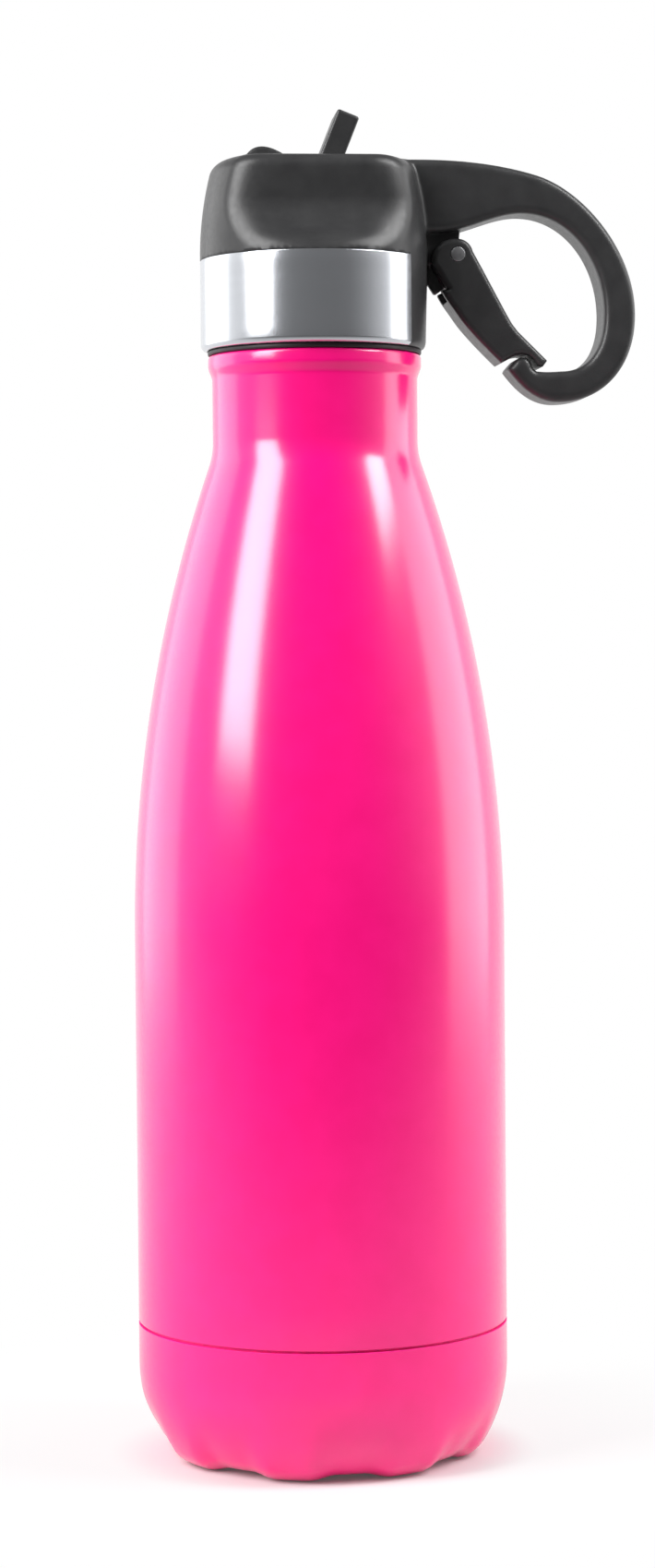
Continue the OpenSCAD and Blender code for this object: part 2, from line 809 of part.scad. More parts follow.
// A torsion spring round the pin: one leg stays in the bracket, the other pushes the gate shut
module gate_spring() {
    steps = ceil((180 - coil_end) / 22.5);
    coil = [for (i = [0:steps]) let (a = 180 + (coil_end - 180) * i / steps)
        [coil_r * cos(a), -coil_y + 2 * coil_y * i / steps, coil_r * sin(a)]];
    color("lightgray")
        translate([pivot[0], 0, pivot[1]])
            wire(concat(
                [[-coil_r, -coil_y, -stay_l]],
                coil,
                [coil[steps] + leg_l * [cos(leg_turn), 0, sin(leg_turn)]]), wire_r);
}

outer_shell();
base_cup();
base_plate();
vacuum_bead();
getter();
inner_flask();
copper_wrap();
lid_gasket();
cap_shell();
steel_band();
stopper();
vent_valve();
straw();
spout_seat();
spout();
spout_pins();
gate();
gate_pin();
gate_spring();
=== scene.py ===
"""Looks for the insulated bottle: smooth shells, rounded mouldings, materials, studio light and camera.

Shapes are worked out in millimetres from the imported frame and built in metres.
"""

import json
import math
from itertools import product

import bpy
import numpy as np
from mathutils import Matrix, Vector


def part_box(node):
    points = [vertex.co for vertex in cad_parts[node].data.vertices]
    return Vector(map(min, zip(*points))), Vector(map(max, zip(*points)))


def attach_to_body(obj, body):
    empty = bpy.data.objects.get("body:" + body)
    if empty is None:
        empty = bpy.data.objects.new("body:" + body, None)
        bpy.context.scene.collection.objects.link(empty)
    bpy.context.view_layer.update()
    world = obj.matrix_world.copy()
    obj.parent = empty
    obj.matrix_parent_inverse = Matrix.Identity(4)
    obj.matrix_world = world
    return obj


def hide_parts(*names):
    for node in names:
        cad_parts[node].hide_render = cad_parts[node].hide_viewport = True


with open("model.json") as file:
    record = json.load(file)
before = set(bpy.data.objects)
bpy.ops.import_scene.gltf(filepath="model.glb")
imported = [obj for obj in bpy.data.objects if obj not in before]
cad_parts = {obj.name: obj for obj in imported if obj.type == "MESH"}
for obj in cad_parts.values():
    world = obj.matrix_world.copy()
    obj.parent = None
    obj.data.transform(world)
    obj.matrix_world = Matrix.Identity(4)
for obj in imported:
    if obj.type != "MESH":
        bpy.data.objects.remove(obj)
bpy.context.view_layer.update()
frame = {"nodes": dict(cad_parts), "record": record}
MM = 0.001


# ---- Sizes, read from the frame ----

def corners(node):
    """Lowest and highest corner of a CAD node, in millimetres."""
    low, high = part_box(node)
    return np.array(low) / MM, np.array(high) / MM


def joint_place(name):
    """A joint's place, in millimetres."""
    joint = next(j for j in frame["record"]["behaviour"]["joints"] if j["name"] == name)
    return np.array(joint["pos_m"]) / MM


BODY_R = corners("outer_shell")[1][1]
RIM_Z = corners("outer_shell")[1][2]
SHELL_LOW = corners("outer_shell")[0][2]
LID_Z = corners("lid_gasket")[1][2]
LID_RISE = 36.8
LID_TOP = corners("inner_flask")[1][2] + LID_RISE
BAND_TOP = corners("steel_band")[1][2]
LID_R = corners("steel_band")[1][1]
HANDLE_X = corners("cap_shell")[1][0]
HANDLE_LOW = corners("cap_shell")[0][2]
GATE_HALF = corners("gate")[1][1]
PIN_R = (corners("gate_pin")[1][0] - corners("gate_pin")[0][0]) / 2
SPOUT_HALF = corners("spout")[1][1]
SPOUT = joint_place("spout_flip")
GATE = joint_place("gate_swing")

# Bottle
SHELL_T = 0.6
NECK_R = 19.6
COLLAR_R = 20.35
COLLAR_H = 3.6
FLANGE_R = COLLAR_R - 1.1
SHOULDER_R = 272
BLEND_R = 14
NECK_LEN = 16.4
SEAM_W = 0.5
SEAM_Z = SHELL_LOW - SEAM_W / 2

# Base cup
CUP_T = 0.8
CUP_ARC_R = 30
CUP_ARC_Z = 18
FOOT_R = 6
FOOT_EDGE_R = BODY_R - 7.5
FOOT_RING_R = 16
RING_BEVEL = 1
RECESS_R = 14.2
RECESS_Z = 2
POCKET_R = 12.5
POCKET_Z = 2.8
PORT_R = 1
LIP_T = 0.7
LIP_UP = 3
LIP_DOWN = 2.2
LOBES = 8
LOBE_TURN = math.radians(28)
VALLEY_D = 1.7
VALLEY_LIFT = 0.62
VALLEY_IN_R = 17.5
VALLEY_UP = 15.5

# Lid
BAND_T = 0.5
BAND_EDGE_R = 1.15
SKIRT_R = LID_R - BAND_T
CAP_T = 1.8
STEP_Z = LID_Z + 2.2
STEP_R = SKIRT_R - CAP_T - 0.75
TAB_HALF = math.radians(37.5)
DOME_R = 64
DOME_Z = BAND_TOP + 0.6
FLAT_Y = 14
LEDGE_Y = 17
LEDGE_Z = LID_TOP - 14.6
LEDGE_LEAN = (0.431, 0.902)
COVE_R = 4.5
FLAT_EDGE_R = 3.2
TOP_EDGE_R = 2.6
GASKET_R = 16.6


# ---- Building meshes ----

def make_object(name, points, faces, material):
    """A mesh object from points in millimetres."""
    mesh = bpy.data.meshes.new(name)
    mesh.from_pydata([tuple(p) for p in np.asarray(points) * MM], [], [tuple(f) for f in faces])
    mesh.validate()
    mesh.materials.append(material)
    mesh.polygons.foreach_set("use_smooth", [True] * len(mesh.polygons))
    obj = bpy.data.objects.new(name, mesh)
    bpy.context.scene.collection.objects.link(obj)
    return obj


def arc(cx, cy, r, start, end, count):
    """Points along an arc, angles in degrees."""
    a = np.radians(np.linspace(start, end, count + 1))
    return np.stack([cx + r * np.cos(a), cy + r * np.sin(a)], 1)


def smooth_step(t):
    """0 to 1 with flat ends."""
    t = np.clip(t, 0, 1)
    return t * t * (3 - 2 * t)


def curve(*parts):
    """Cubic curves joined end to end: a first point, then three points for each curve."""
    points = [np.array(parts[0], float)[None]]
    t = np.linspace(0, 1, 41)[1:, None]
    for i in range(0, len(parts) - 3, 3):
        a, b, c, d = (np.array(p, float) for p in parts[i:i + 4])
        points.append((1 - t) ** 3 * a + 3 * (1 - t) ** 2 * t * b + 3 * (1 - t) * t ** 2 * c + t ** 3 * d)
    return np.concatenate(points)


def lathe(name, profile, material, segments=192, start=0.0, sweep=2 * math.pi):
    """Turns a closed profile of (radius, height) points round the axis, fully or through a sector."""
    full = sweep > 2 * math.pi - 1e-6
    rows = segments if full else segments + 1
    angles = start + sweep * np.arange(rows) / segments
    profile = np.asarray(profile, float)
    n = len(profile)
    points = [(r * math.cos(a), r * math.sin(a), z) for a in angles for r, z in profile]
    faces = ring_faces(segments, rows, n)
    if not full:
        faces.append(list(range(n - 1, -1, -1)))
        faces.append(list(range((rows - 1) * n, rows * n)))
    obj = make_object(name, points, faces, material)
    sharpen(obj, 35)
    return obj


def ring_faces(segments, rows, n):
    """Faces between rows of n points each, where every row is a closed ring."""
    return [
        (i * n + k, (i + 1) % rows * n + k, (i + 1) % rows * n + (k + 1) % n, i * n + (k + 1) % n)
        for i in range(segments) for k in range(n)
    ]


def sharpen(obj, degrees):
    """Keeps edges crisp where the surface turns by more than an angle."""
    obj.data.set_sharp_from_angle(angle=math.radians(degrees))


def attach(piece, body, node):
    """The piece moves with a body and stands for a CAD node, which is hidden."""
    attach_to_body(piece, body)
    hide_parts(node)


# ---- Distance fields: negative inside, in millimetres ----

def union(a, b, r=0.0):
    """Both shapes together, with a hollow fillet of radius r where they meet."""
    if r == 0:
        return np.minimum(a, b)
    return np.maximum(r, np.minimum(a, b)) - np.hypot(np.maximum(r - a, 0), np.maximum(r - b, 0))


def both(a, b, r=0.0):
    """The common part, with a rounded edge of radius r."""
    return -union(-a, -b, r)


def cut(a, b, r=0.0):
    """The first shape without the second."""
    return both(a, -b, r)


def block(x, y, z, low, high):
    """A box."""
    d = np.maximum(np.maximum(low[0] - x, x - high[0]), np.maximum(low[1] - y, y - high[1]))
    return np.maximum(d, np.maximum(low[2] - z, z - high[2]))


def outline(points, cell=0.12, margin=4.0):
    """The field of a closed outline in the X-Z plane, worked out once on a fine grid."""
    start = np.asarray(points, float)
    step = np.roll(start, -1, 0) - start
    low = start.min(0) - margin
    count = np.ceil((start.max(0) + margin - low) / cell).astype(int) + 1
    x = (low[0] + cell * np.arange(count[0]))[:, None]
    z = (low[1] + cell * np.arange(count[1]))[None, :]
    nearest = np.full(count, 1e9)
    inside = np.zeros(count, bool)
    for (ax, az), (dx, dz) in zip(start, step):
        length = dx * dx + dz * dz
        if length < 1e-12:
            continue
        px, pz = x - ax, z - az
        t = np.clip((px * dx + pz * dz) / length, 0, 1)
        nearest = np.minimum(nearest, (px - t * dx) ** 2 + (pz - t * dz) ** 2)
        if dz != 0:
            inside ^= ((az > z) != (az + dz > z)) & (px < dx * pz / dz)
    grid = np.where(inside, -1, 1) * np.sqrt(nearest)

    def field(x, z):
        u = np.clip((x - low[0]) / cell, 0, count[0] - 1.001)
        v = np.clip((z - low[1]) / cell, 0, count[1] - 1.001)
        i, j = u.astype(int), v.astype(int)
        u, v = u - i, v - j
        near = grid[i, j] * (1 - v) + grid[i, j + 1] * v
        far = grid[i + 1, j] * (1 - v) + grid[i + 1, j + 1] * v
        return near * (1 - u) + far * u

    return field


def mesh_field(name, field, low, high, step, material):
    """A smooth mesh of a field's surface: one point in each crossed cell, moved onto the surface."""
    low, high = np.array(low, float), np.array(high, float)
    counts = np.ceil((high - low) / step).astype(int) + 1
    axes = [low[i] + step * np.arange(counts[i]) for i in range(3)]
    values = field(axes[0][:, None, None], axes[1][None, :, None], axes[2][None, None, :])
    values = np.broadcast_to(values, tuple(counts))
    inside = values < 0
    offsets = list(product((0, 1), repeat=3))
    cells = [inside[tuple(slice(o[i], counts[i] - 1 + o[i]) for i in range(3))] for o in offsets]
    crossed = np.logical_or.reduce(cells) & ~np.logical_and.reduce(cells)
    index = np.full(crossed.shape, -1)
    index[crossed] = np.arange(crossed.sum())
    where = np.argwhere(crossed)
    total = np.zeros((len(where), 3))
    hits = np.zeros(len(where))
    for a, b in product(offsets, offsets):
        if sum(b) - sum(a) != 1 or any(b[i] < a[i] for i in range(3)):
            continue
        va = values[tuple((where + a).T)]
        vb = values[tuple((where + b).T)]
        hit = (va < 0) != (vb < 0)
        t = va[hit] / (va[hit] - vb[hit])
        total[hit] += np.array(a) + t[:, None] * (np.array(b) - np.array(a))
        hits[hit] += 1
    points = low + step * (where + total / hits[:, None])
    quads = []
    for axis in range(3):
        u, w = [i for i in range(3) if i != axis]
        if axis == 1:
            u, w = w, u  # so that the quads turn the same way along every axis
        here = [slice(None)] * 3
        there = [slice(None)] * 3
        here[axis], there[axis] = slice(0, -1), slice(1, None)
        first, second = inside[tuple(here)], inside[tuple(there)]
        edges = np.argwhere(first != second)
        keep = (edges[:, u] > 0) & (edges[:, w] > 0)
        keep &= (edges[:, u] < counts[u] - 1) & (edges[:, w] < counts[w] - 1)
        edges = edges[keep]
        ring = []
        for du, dw in ((0, 0), (1, 0), (1, 1), (0, 1)):
            cell = edges.copy()
            cell[:, u] -= du
            cell[:, w] -= dw
            ring.append(index[tuple(cell.T)])
        quad = np.stack(ring, 1)
        leaving = first[tuple(edges.T)]
        quads.append(np.where(leaving[:, None], quad, quad[:, ::-1]))
    quads = np.concatenate(quads)
    points = settle(points, field, step)
    for _ in range(2):
        points = settle(relax(points, quads), field, step)
    return make_object(name, points, quads.tolist(), material)


def relax(points, quads):
    """Moves each point half way to the middle of its neighbours, so that they lie evenly."""
    total = np.zeros_like(points)
    count = np.zeros(len(points))
    for a, b in ((0, 1), (1, 2), (2, 3), (3, 0)):
        for one, other in ((a, b), (b, a)):
            np.add.at(total, quads[:, one], points[quads[:, other]])
            np.add.at(count, quads[:, one], 1)
    return 0.5 * points + 0.5 * total / np.maximum(count, 1)[:, None]


def settle(points, field, step):
    """Moves points onto a field's zero surface."""
    h = 0.08
    for _ in range(3):
        value = field(*points.T)
        slope = np.stack([
            field(*(points + h * axis).T) - field(*(points - h * axis).T) for axis in np.eye(3)
        ], 1) / (2 * h)
        size = np.maximum((slope ** 2).sum(1), 0.25)
        move = -(value / size)[:, None] * slope
        length = np.linalg.norm(move, axis=1)
        points = points + move * np.minimum(1, 0.35 * step / np.maximum(length, 1e-9))[:, None]
    return points


# ---- Materials ----

def new_material(name):
    """A fresh material, its node tree and its shader."""
    material = bpy.data.materials.new(name)
    material.use_nodes = True
    tree = material.node_tree
    return material, tree, tree.nodes["Principled BSDF"]


def noise(tree, scale, detail=4.0, stretch=(1, 1, 1)):
    """Noise in object space; scale is in cycles per metre."""
    place = tree.nodes.new("ShaderNodeTexCoord")
    mapping = tree.nodes.new("ShaderNodeMapping")
    texture = tree.nodes.new("ShaderNodeTexNoise")
    mapping.inputs["Scale"].default_value = stretch
    texture.inputs["Scale"].default_value = scale
    texture.inputs["Detail"].default_value = detail
    tree.links.new(place.outputs["Object"], mapping.inputs["Vector"])
    tree.links.new(mapping.outputs["Vector"], texture.inputs["Vector"])
    return texture.outputs["Fac"]


def map_range(tree, source, start, end, low, high, kind="SMOOTHSTEP"):
    """Maps a value from start and end to low and high."""
    node = tree.nodes.new("ShaderNodeMapRange")
    node.interpolation_type = kind
    limits = {"From Min": start, "From Max": end, "To Min": low, "To Max": high}
    for socket, limit in limits.items():
        node.inputs[socket].default_value = limit
    tree.links.new(source, node.inputs["Value"])
    return node.outputs["Result"]


def spread(tree, source, low, high):
    """Maps noise to a range of values."""
    return map_range(tree, source, 0.3, 0.7, low, high, "LINEAR")


def tint(tree, source, low, high):
    """Maps noise to a mix of two colours."""
    ramp = tree.nodes.new("ShaderNodeValToRGB")
    ramp.color_ramp.elements[0].position = 0.35
    ramp.color_ramp.elements[1].position = 0.65
    ramp.color_ramp.elements[0].color = (*low, 1)
    ramp.color_ramp.elements[1].color = (*high, 1)
    tree.links.new(source, ramp.inputs["Fac"])
    return ramp.outputs["Color"]


def bump(tree, shader, source, depth):
    """Relief of a depth in metres."""
    node = tree.nodes.new("ShaderNodeBump")
    node.inputs["Strength"].default_value = 1.0
    node.inputs["Distance"].default_value = depth
    tree.links.new(source, node.inputs["Height"])
    tree.links.new(node.outputs["Normal"], shader.inputs["Normal"])


def pink_coat():
    """Powder coat: a very fine orange peel under a smooth top."""
    material, tree, shader = new_material("pink_coat")
    tree.links.new(tint(tree, noise(tree, 160), (0.97, 0.001, 0.212), (1.0, 0.002, 0.227)),
                   shader.inputs["Base Color"])
    tree.links.new(spread(tree, noise(tree, 900), 0.3, 0.38), shader.inputs["Roughness"])
    shader.inputs["Specular IOR Level"].default_value = 0.1
    shader.inputs["Coat Weight"].default_value = 1.0
    shader.inputs["Coat Roughness"].default_value = 0.19
    shader.inputs["Coat IOR"].default_value = 1.65
    bump(tree, shader, noise(tree, 1500, 2), 0.000004)
    return material


def black_plastic():
    """Moulded plastic with a fine spark-eroded grain."""
    material, tree, shader = new_material("black_plastic")
    tree.links.new(tint(tree, noise(tree, 200), (0.028, 0.028, 0.029), (0.036, 0.036, 0.037)),
                   shader.inputs["Base Color"])
    tree.links.new(spread(tree, noise(tree, 1200), 0.32, 0.41), shader.inputs["Roughness"])
    shader.inputs["Specular IOR Level"].default_value = 0.38
    bump(tree, shader, noise(tree, 3500, 3), 0.000012)
    return material


def brushed_steel(name, colour, rough, streak, contrast=0.08, metal=1.0):
    """Brushed metal: streaks that run along the stretched direction."""
    material, tree, shader = new_material(name)
    fine = noise(tree, 1.0, 6, streak)
    low, high = [c * (1 - contrast) for c in colour], [c * (1 + contrast) for c in colour]
    tree.links.new(tint(tree, fine, low, high), shader.inputs["Base Color"])
    tree.links.new(spread(tree, fine, rough - contrast, rough + contrast), shader.inputs["Roughness"])
    shader.inputs["Metallic"].default_value = metal
    bump(tree, shader, fine, 0.00001 * contrast)
    return material


def plain(name, colour, rough, metal=0.0):
    """A moulded, cast or drawn surface with a slight mottle and grain."""
    grain = 600
    material, tree, shader = new_material(name)
    low, high = [c * 0.92 for c in colour], [min(1, c * 1.08) for c in colour]
    tree.links.new(tint(tree, noise(tree, grain), low, high), shader.inputs["Base Color"])
    tree.links.new(spread(tree, noise(tree, grain * 2), rough - 0.06, rough + 0.06),
                   shader.inputs["Roughness"])
    shader.inputs["Metallic"].default_value = metal
    bump(tree, shader, noise(tree, grain * 4, 2), 0.000006)
    return material


PINK = pink_coat()
# Darker pink for the faces in the seam's groove: painted shade where the cup meets the shell.
SEAM_SHADE = plain("painted_seam_shade", (0.85, 0.001, 0.25), 0.6)
BLACK = black_plastic()
BAND_STEEL = brushed_steel("band_steel", (0.66, 0.68, 0.72), 0.2, (8, 8, 9000), 0.03, 0.9)
FLASK_STEEL = brushed_steel("flask_steel", (0.55, 0.55, 0.55), 0.35, (40, 40, 3000))
DISC_STEEL = brushed_steel("disc_steel", (0.6, 0.6, 0.62), 0.3, (2500, 60, 60))
PIN_STEEL = plain("pin_steel", (0.3, 0.3, 0.31), 0.4, 0.8)
SPRING_STEEL = plain("spring_steel", (0.6, 0.6, 0.6), 0.2, 1.0)
COPPER = plain("copper", (0.72, 0.33, 0.2), 0.25, 1.0)
GETTER = plain("getter_metal", (0.3, 0.3, 0.3), 0.55, 0.9)
SEAL = plain("seal_glass", (0.16, 0.16, 0.17), 0.35, 0.2)
RUBBER = plain("dark_silicone", (0.016, 0.008, 0.012), 0.5)
CLEAR = plain("clear_silicone", (0.7, 0.7, 0.7), 0.45)
STRAW = plain("straw_plastic", (0.85, 0.87, 0.88), 0.2)


# ---- Bottle ----

def shoulder_rise(body, neck, long_r, blend_r):
    """Height from the straight body's end to the neck's start."""
    return math.sqrt((long_r + blend_r) ** 2 - (neck + blend_r - body + long_r) ** 2)


def shoulder(body, neck, start_z, long_r, blend_r, count=60):
    """From the straight body over the long arc and the hollow blend to the neck."""
    rise = shoulder_rise(body, neck, long_r, blend_r)
    turn = math.degrees(math.asin(rise / (long_r + blend_r)))
    return np.concatenate([
        arc(body - long_r, start_z, long_r, 0, turn, count),
        arc(neck + blend_r, start_z + rise, blend_r, 180 + turn, 180, 16)[1:],
    ])


def soft_step(r0, r1, z0, z1, count):
    """An S-shaped change of radius with height."""
    t = np.linspace(0, 1, count + 1)
    return np.stack([r0 + (r1 - r0) * smooth_step(t), z0 + (z1 - z0) * t], 1)


def make_shell():
    """The coated outer wall, from the seam to the rim and back down inside."""
    shoulder_z = RIM_Z - NECK_LEN - shoulder_rise(BODY_R, NECK_R, SHOULDER_R, BLEND_R)
    collar_z = RIM_Z - COLLAR_H
    edge = 0.8
    low_edge = 0.12
    outside = shoulder(BODY_R, NECK_R, shoulder_z, SHOULDER_R, BLEND_R)
    inside = shoulder(BODY_R - SHELL_T, NECK_R - SHELL_T, shoulder_z, SHOULDER_R - SHELL_T,
                      BLEND_R + SHELL_T, 24)
    straight = [[BODY_R, z] for z in np.linspace(SHELL_LOW + low_edge, shoulder_z, 12)[1:-1]]
    profile = np.concatenate([
        [[BODY_R - SHELL_T, SHELL_LOW]],
        arc(BODY_R - low_edge, SHELL_LOW + low_edge, low_edge, -90, 0, 4),
        straight,
        outside,
        soft_step(NECK_R, COLLAR_R, collar_z - 1.2, collar_z + 1.5, 12),
        arc(COLLAR_R - edge, RIM_Z - edge, edge, 0, 90, 6),
        [[FLANGE_R, RIM_Z], [FLANGE_R, RIM_Z - 0.5], [NECK_R - SHELL_T, RIM_Z - 0.5]],
        inside[::-1],
    ])
    shell = lathe("shell_coat", profile, PINK, 256)
    attach(shell, "bottle", "outer_shell")


def cup_profile(inset):
    """The cup's outside, or a surface inset from it, from the foot ring's inner edge to the seam."""
    reach = math.sqrt((CUP_ARC_R - FOOT_R) ** 2 - (CUP_ARC_Z - FOOT_R) ** 2)
    cx = BODY_R - CUP_ARC_R
    turn = math.degrees(math.atan2(CUP_ARC_Z - FOOT_R, reach))
    edge = FOOT_R - inset
    foot_x = cx + reach
    return np.concatenate([
        [[r, inset] for r in np.linspace(FOOT_RING_R, foot_x, 22)[:-1]],
        arc(foot_x, FOOT_R, edge, -90, -turn, 14),
        arc(cx, CUP_ARC_Z, CUP_ARC_R - inset, -turn, 0, 26)[1:],
        [[BODY_R - inset, z] for z in np.linspace(CUP_ARC_Z, SEAM_Z - SEAM_W / 2 - 0.2, 6)[1:]],
    ])


def valley_points(profile, angles):
    """Turns a profile round the axis and presses the valleys in between the lobes."""
    tangent = np.gradient(profile, axis=0)
    tangent /= np.linalg.norm(tangent, axis=1)[:, None]
    inward = np.stack([-tangent[:, 1], tangent[:, 0]], 1)
    run = np.concatenate([[0], np.cumsum(np.linalg.norm(np.diff(profile, axis=0), axis=1))])
    high = profile[:, 1] > 3  # not a place for the foot's edge
    foot = run[np.argmin(np.abs(profile[:, 0] - FOOT_EDGE_R) + high * 99)]
    along = np.where(
        run < foot,
        smooth_step((profile[:, 0] - VALLEY_IN_R) / (FOOT_EDGE_R - 1 - VALLEY_IN_R)),
        1 - smooth_step((run - foot) / VALLEY_UP),
    )
    width = 0.5 - 0.5 * np.cos((angles - LOBE_TURN) * LOBES)
    around = smooth_step((width - 0.15) / 0.75)
    press = VALLEY_D * along[None, :] * around[:, None]
    shape = profile[None] + press[..., None] * inward[None] * [1, VALLEY_LIFT]
    x = shape[..., 0] * np.cos(angles)[:, None]
    y = shape[..., 0] * np.sin(angles)[:, None]
    return np.stack([x, y, shape[..., 1]], -1)


def make_cup():
    """The coated foot: lobes outside and inside, the lip under the shell with painted shade in the seam's
    groove, and the disc's recess.
    """
    segments = 384
    angles = 2 * math.pi * np.arange(segments) / segments
    outside = valley_points(cup_profile(0), angles)
    inside = valley_points(cup_profile(CUP_T), angles)
    lip_out, lip_in = BODY_R - SHELL_T - 0.02, BODY_R - SHELL_T - LIP_T
    top = SEAM_Z - SEAM_W / 2

    def rings(pairs):
        pairs = np.array(pairs, float)
        return np.stack([
            np.cos(angles)[:, None] * pairs[:, 0], np.sin(angles)[:, None] * pairs[:, 0],
            np.broadcast_to(pairs[:, 1], (segments, len(pairs))),
        ], -1)

    edge = 0.12
    over = rings(np.concatenate([
        arc(BODY_R - edge, top - edge, edge, 0, 90, 4),
        [[lip_out, top], [lip_out, SEAM_Z + LIP_UP], [lip_in, SEAM_Z + LIP_UP],
         [lip_in, SEAM_Z - LIP_DOWN], [BODY_R - CUP_T, SEAM_Z - LIP_DOWN]],
    ]))
    under = rings([
        [POCKET_R, POCKET_Z + CUP_T], [PORT_R, POCKET_Z + CUP_T], [PORT_R, POCKET_Z],
        [POCKET_R, POCKET_Z], [POCKET_R, RECESS_Z], [RECESS_R, RECESS_Z], [RECESS_R, RECESS_Z / 2],
        [FOOT_RING_R - RING_BEVEL, RECESS_Z / 2], [FOOT_RING_R - 0.25, 0.25],
    ])
    grid = np.concatenate([outside, over, inside[:, ::-1][:, 3:], under], 1)
    faces = ring_faces(segments, segments, grid.shape[1])
    cup = make_object("cup_coat", grid.reshape(-1, 3), faces, PINK)
    # The faces in the seam's groove take the darker pink: painted shade in the groove.
    cup.data.materials.append(SEAM_SHADE)
    for face in cup.data.polygons:
        if face.center.z / MM > top - 0.15:
            face.material_index = 1
    sharpen(cup, 40)
    attach(cup, "bottle", "base_cup")


def make_gasket():
    """The dark ring between the collar and the lid."""
    low, high = corners("lid_gasket")
    edge = 0.3
    profile = np.concatenate([
        [[GASKET_R, low[2]]],
        arc(high[1] - edge, low[2] + edge, edge, -90, 0, 4),
        arc(high[1] - edge, high[2] - edge, edge, 0, 90, 4),
        [[GASKET_R, high[2]]],
    ])
    gasket = lathe("gasket_ring", profile, RUBBER)
    attach(gasket, "gasket", "lid_gasket")


def make_band():
    """The brushed band with its rolled lower edge, open behind the handle."""
    inner = BAND_EDGE_R - BAND_T
    corner = (LID_R - BAND_EDGE_R, LID_Z + BAND_EDGE_R)
    lip = 0.18
    profile = np.concatenate([
        arc(*corner, BAND_EDGE_R, -90, 0, 10),
        [[LID_R, z] for z in np.linspace(corner[1], BAND_TOP - lip, 10)[1:-1]],
        arc(LID_R - lip, BAND_TOP - lip, lip, 0, 90, 4),
        [[SKIRT_R, BAND_TOP]],
        arc(*corner, inner, 0, -90, 10),
    ])
    band = lathe("band", profile, BAND_STEEL, 224, TAB_HALF, 2 * math.pi - 2 * TAB_HALF)
    attach(band, "lid", "steel_band")


# ---- Lid ----

DRUM_ROOM = 2.8
WELL_HALF = SPOUT_HALF + 0.3
WELL_WALL = 2.4
WELL_FLOOR = SPOUT[2] - DRUM_ROOM
WELL_LEFT = SPOUT[0] - 12.6
WELL_RIGHT = SPOUT[0] + 3.72
ROOT_Z = GATE[2] + 4.2
HEAD_R = 3
COIL_R = 2.6
SCOOP_R = 4.6
SEAT_R = 3.6
GUARD_X = -9.6
GUARD_REACH = 3.7
GUARD_H = 1.65


def dome_field(x, y, z):
    """The dome: curved side, rounded top, and the flats with the coves under them."""
    r = np.hypot(x, y)
    side = np.where(z > DOME_Z, np.hypot(r - (LID_R - DOME_R), z - DOME_Z) - DOME_R, r - LID_R)
    ledge = LEDGE_LEAN[0] * (np.abs(y) - LEDGE_Y) + LEDGE_LEAN[1] * (z - LEDGE_Z)
    flats = union(np.abs(y) - FLAT_Y, ledge, COVE_R)
    return both(both(side, flats, FLAT_EDGE_R), z - LID_TOP, TOP_EDGE_R)


def skirt_field(x, y, z):
    """The skirt behind the band, and the tab that stands level with it."""
    r = np.hypot(x, y)
    taper = 0.45 * np.clip((BAND_TOP - 2 - z) / (BAND_TOP - 2 - LID_Z), 0, 1)
    wedge = np.abs(y) * math.cos(TAB_HALF) - x * math.sin(TAB_HALF)
    tab = both(both(r - (LID_R - taper), LID_Z - z, 1.4), wedge, 0.15)
    behind = both(r - SKIRT_R + 0.03, LID_Z - z, 1.0)
    return both(union(tab, behind), z - BAND_TOP - 0.5)


def hollow_field(x, y, z):
    """The space inside the cap, without the block that holds the spout's well."""
    r = np.hypot(x, y)
    upper = both(dome_field(x, y, z) + CAP_T, BAND_TOP - 1 - z)
    middle = both(r - STEP_R, np.maximum(STEP_Z - z, z - BAND_TOP - 0.5))
    lower = both(r - SKIRT_R + CAP_T, z - STEP_Z)
    well_block = block(x, y, z, (-18, -WELL_HALF - WELL_WALL, WELL_FLOOR - CAP_T),
                       (WELL_RIGHT + WELL_WALL, WELL_HALF + WELL_WALL, LID_TOP + 9))
    return union(union(cut(upper, well_block), middle), lower)


def handle_points():
    """The hook's outline, from the lid round the loop to the nose and back along the inside."""
    mid, low = LID_Z + 6.5, HANDLE_LOW
    inner = HANDLE_X - 6.1
    low_x, tip_x = HANDLE_X - 15, HANDLE_X - 15.8
    floor_z, high = low + 5.9, LID_TOP - 10.2
    outside = curve(
        (20, LID_TOP), (28, LID_TOP), (35.9, LID_TOP - 0.9), (42.6, LID_TOP - 3),
        (51.2, LID_TOP - 5.7), (HANDLE_X, mid + 12.5), (HANDLE_X, mid),
        (HANDLE_X, mid - 9.8), (low_x + 8.9, low), (low_x, low),
        (low_x - 3.8, low), (low_x - 6.9, low + 2.4), (low_x - 9.7, low + 6.3))
    nose = [[tip_x - 7.3, low + 8.1], [tip_x - 6.4, low + 8.55], [tip_x - 5.3, low + 8.55],
            [tip_x - 4.5, low + 7.8], [tip_x - 4, low + 6.5]]
    inside = curve(
        (tip_x - 3.3, floor_z), (tip_x - 1.5, floor_z - 0.2), (tip_x, floor_z - 0.1),
        (tip_x + 1.5, floor_z), (tip_x + 7, floor_z), (inner, mid - 6.3), (inner, mid + 0.2),
        (inner, mid + 10.7), (48.5, high), (39.5, high),
        (34.5, high), (30, ROOT_Z + 0.6), (24, ROOT_Z))
    return np.concatenate([[[8, ROOT_Z], [8, LID_TOP]], outside, nose, inside])


HANDLE = outline(handle_points())
TONGUE = outline(GATE[[0, 2]] + np.array(
    [[-7.6, -1.7], [-7.6, 5.2], [0.8, 5.2], [0.5, 2.9], [0.5, -2.9], [-1, -6.6], [-2.2, -6.3],
     [-3.6, -3.9], [-4.9, -1.7]]))
WEB = outline(GATE[[0, 2]] + np.array(
    [[-7, -1.5], [-4.8, -1.5], [-2.2, -6.1], [-4, -7.4], [-5.3, -5.3], [-7, -4.6]]))


